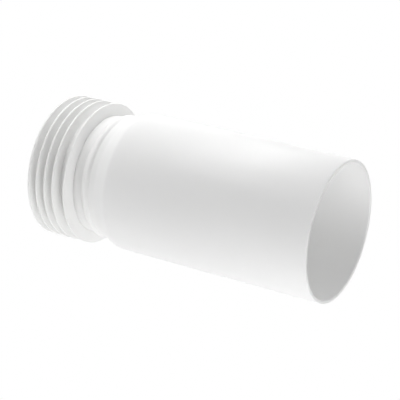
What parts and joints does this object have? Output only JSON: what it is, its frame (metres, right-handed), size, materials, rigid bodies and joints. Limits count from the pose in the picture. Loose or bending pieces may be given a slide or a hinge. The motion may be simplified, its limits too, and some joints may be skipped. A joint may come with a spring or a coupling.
{
  "type": "straight toilet outlet extension",
  "caption": "Straight white pipe with a plain open mouth, a tapered shoulder, a rounded bead and a spigot carrying a soft finned seal; lengthens a toilet's outlet to the soil pipe.",
  "frame": {"origin": "centre of the spigot's rim, on the surface that the part stands on", "axes": "+Z along the pipe's axis, from the finned spigot up to the plain mouth; the part is round, so +X is any direction across it"},
  "size_m": [0.1146, 0.1146, 0.25],
  "materials": {
    "pipe_body": "moulded white polypropylene, smooth and glossy",
    "fin_seal": "white thermoplastic elastomer, satin"
  },
  "bodies": {
    "root": {"pipe_body": "pipe_body", "fin_seal": "fin_seal"}
  },
  "joints": []
}
